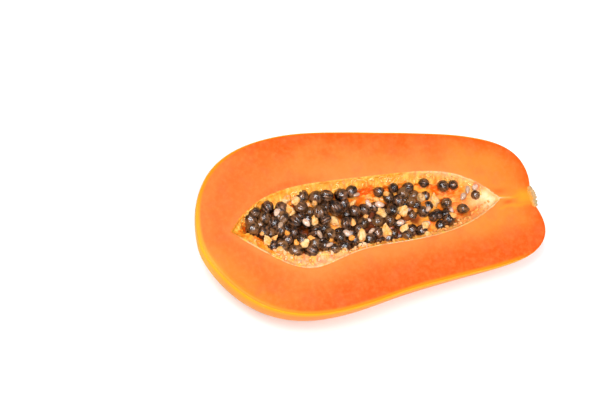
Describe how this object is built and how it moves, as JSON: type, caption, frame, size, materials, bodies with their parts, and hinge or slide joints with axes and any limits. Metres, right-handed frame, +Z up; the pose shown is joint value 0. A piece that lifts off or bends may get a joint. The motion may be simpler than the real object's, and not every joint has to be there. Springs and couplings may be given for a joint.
{
  "type": "papaya half",
  "caption": "Ripe papaya cut lengthwise, lying skin down: orange flesh around an open cavity with a pale lining and a heap of dark wet seeds, and a dry stem scar at the narrow end.",
  "frame": {"origin": "middle of the bounding box, on the surface that the fruit lies on", "axes": "+X from the rounded blossom end to the stem end, +Z up out of the cut face"},
  "size_m": [0.1998, 0.1084, 0.0628],
  "materials": {
    "flesh": "moist cut fruit flesh with a thin waxy yellow skin",
    "lining": "moist fibrous",
    "seed_heap": "wet, gel-coated",
    "stem_scar": "dry, rough"
  },
  "bodies": {
    "root": {"flesh": "flesh", "lining": "lining", "seed_heap": "seed_heap", "stem_scar": "stem_scar"}
  },
  "joints": []
}
